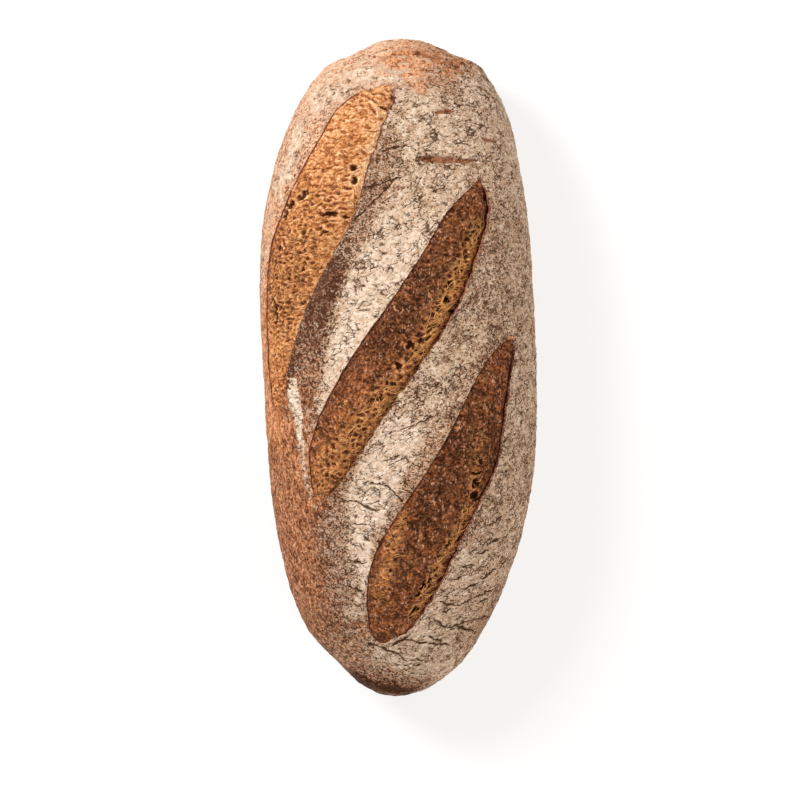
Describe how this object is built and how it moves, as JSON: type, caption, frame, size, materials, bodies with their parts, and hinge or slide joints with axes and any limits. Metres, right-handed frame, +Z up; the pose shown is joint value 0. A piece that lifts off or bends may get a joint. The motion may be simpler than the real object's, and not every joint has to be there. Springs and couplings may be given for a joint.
{
  "type": "whole wheat bread loaf",
  "caption": "Long oval hearth loaf of whole wheat bread with a flour-dusted crust, slanting scores that have opened into raised ears, and a flat base.",
  "frame": {"origin": "on the surface that the loaf rests on, under the middle of the loaf's box", "axes": "+Y along the loaf towards its blunter end, +Z up out of the scored top, +X across to the side of the scores' raised ears"},
  "size_m": [0.1268, 0.3002, 0.0854],
  "materials": {
    "crust": "matt baked crust, brown where the dough opened and dusted with pale flour elsewhere"
  },
  "bodies": {
    "root": {"loaf": "crust"}
  },
  "joints": []
}
